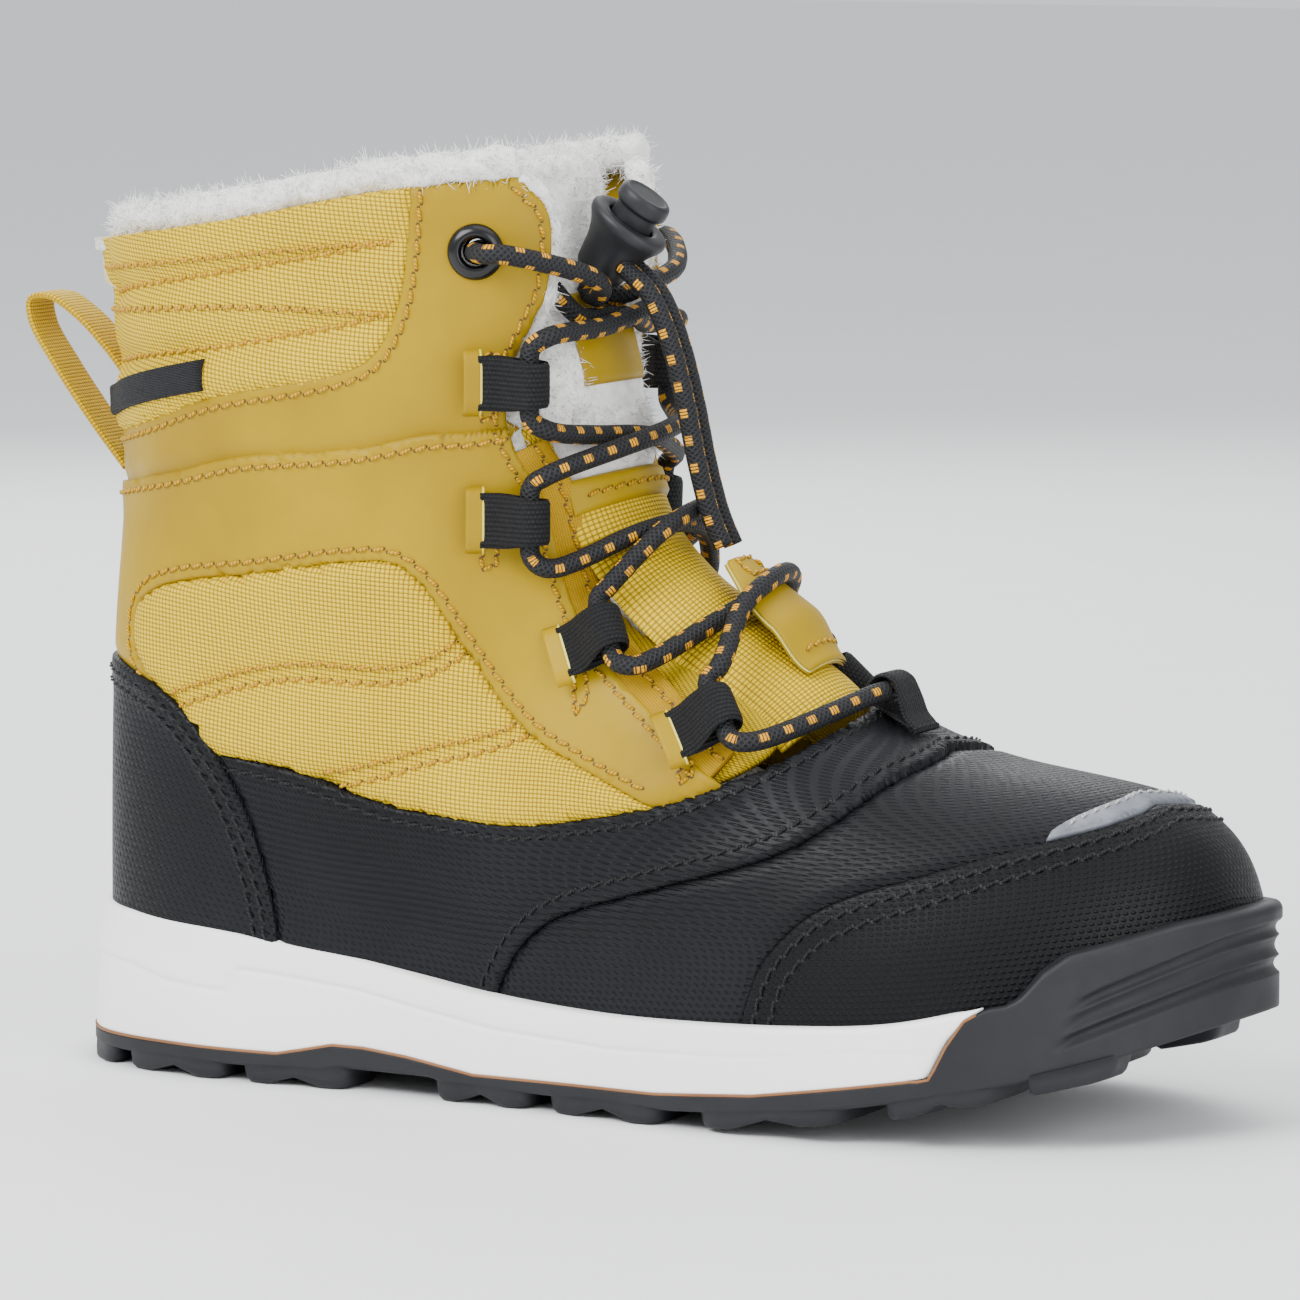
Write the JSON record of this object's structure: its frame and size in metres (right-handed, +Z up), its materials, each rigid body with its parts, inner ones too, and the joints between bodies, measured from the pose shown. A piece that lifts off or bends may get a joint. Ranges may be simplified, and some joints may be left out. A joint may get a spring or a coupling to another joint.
{
  "type": "winter hiking boot",
  "caption": "Insulated winter hiking boot with elastic lace, cord lock, fleece lining and lugged sole; the tongue, cord lock and pull loop move",
  "frame": {"origin": "centre of the flat lug under the heel, on the ground", "axes": "+X to the toe, +Y to the inner side of the foot, +Z up"},
  "size_m": [0.2642, 0.0924, 0.1815],
  "materials": {
    "rubber": "charcoal moulded rubber, matte",
    "midsole_foam": "off-white moulded EVA, matte",
    "stiffener": "pressed fibre board",
    "black_coated": "black coated leather with a fine dot emboss",
    "yellow_smooth": "smooth mustard yellow coated leather",
    "yellow_woven": "coarse mustard yellow nylon weave",
    "fleece": "white sherpa fleece",
    "foam": "upholstery foam",
    "black_webbing": "black ribbed webbing",
    "elastic_cord": "black braided elastic cord with yellow flecks",
    "reflective": "grey retroreflective film",
    "black_plastic": "black moulded plastic",
    "matte_plastic": "black rubberised plastic",
    "steel": "spring and washer steel"
  },
  "bodies": {
    "root": {"midsole": "midsole_foam", "shank": "steel", "eyelet_washer_lateral": "steel", "eyelet_washer_medial": "steel", "outsole": "rubber", "lasting_board": "stiffener", "toe_puff": "stiffener", "heel_counter": "stiffener", "footbed": "fleece", "lining_lateral": "fleece", "lining_medial": "fleece", "collar_roll": "fleece", "toe_cap": "black_coated", "vamp": "black_coated", "saddle_guard": "black_coated", "heel_guard": "black_coated", "reflective_strip": "reflective", "collar_fabric": "yellow_woven", "quarter_fabric_lateral": "yellow_woven", "quarter_fabric_medial": "yellow_woven", "gusset_lateral": "yellow_woven", "gusset_medial": "yellow_woven", "collar_foam": "foam", "side_tag": "black_webbing", "lace_loop_throat": "black_webbing", "lace_loop_lateral_1": "black_webbing", "lace_loop_lateral_2": "black_webbing", "lace_loop_lateral_3": "black_webbing", "lace_loop_lateral_4": "black_webbing", "lace_loop_medial_1": "black_webbing", "lace_loop_medial_2": "black_webbing", "lace_loop_medial_3": "black_webbing", "lace_loop_medial_4": "black_webbing", "quarter_overlay_lateral": "yellow_smooth", "quarter_overlay_medial": "yellow_smooth", "collar_band_lateral": "yellow_smooth", "collar_band_medial": "yellow_smooth", "eyelet_lateral": "black_plastic", "eyelet_medial": "black_plastic", "lace_lateral": "elastic_cord", "lace_medial": "elastic_cord"},
    "tongue": {"tongue_shell": "yellow_woven", "tongue_lining": "fleece", "tongue_patch": "yellow_smooth", "lace_keeper": "yellow_smooth", "lace_tail_lateral": "elastic_cord", "lace_tail_medial": "elastic_cord"},
    "toggle": {"toggle_housing": "matte_plastic", "toggle_spring": "steel"},
    "toggle_button": {"toggle_button": "matte_plastic"},
    "pull_loop": {"pull_loop": "yellow_woven"}
  },
  "joints": [
    {"name": "tongue_hinge", "type": "hinge", "parent": "root", "child": "tongue", "pos_m": [0.128, 0, 0.074], "axis": [0, 1, 0], "range_deg": [0, 12], "stiffness_Nm_per_rad": 0.05, "deforming": ["lace_lateral", "lace_medial"]},
    {"name": "toggle_slide", "type": "slide", "parent": "tongue", "child": "toggle", "axis": [0.477, 0, -0.8789], "range_m": [0, 0.01], "deforming": ["lace_lateral", "lace_medial", "lace_tail_lateral", "lace_tail_medial"]},
    {"name": "toggle_button_slide", "type": "slide", "parent": "toggle", "child": "toggle_button", "axis": [-0.5878, 0, -0.809], "range_m": [0, 0.0025], "stiffness_N_per_m": 300, "springref_m": -0.0005, "deforming": ["toggle_spring"]},
    {"name": "pull_loop_hinge", "type": "hinge", "parent": "root", "child": "pull_loop", "pos_m": [-0.0296, 0, 0.1245], "axis": [0, 0, 1], "range_deg": [-12, 12], "stiffness_Nm_per_rad": 0.02}
  ]
}
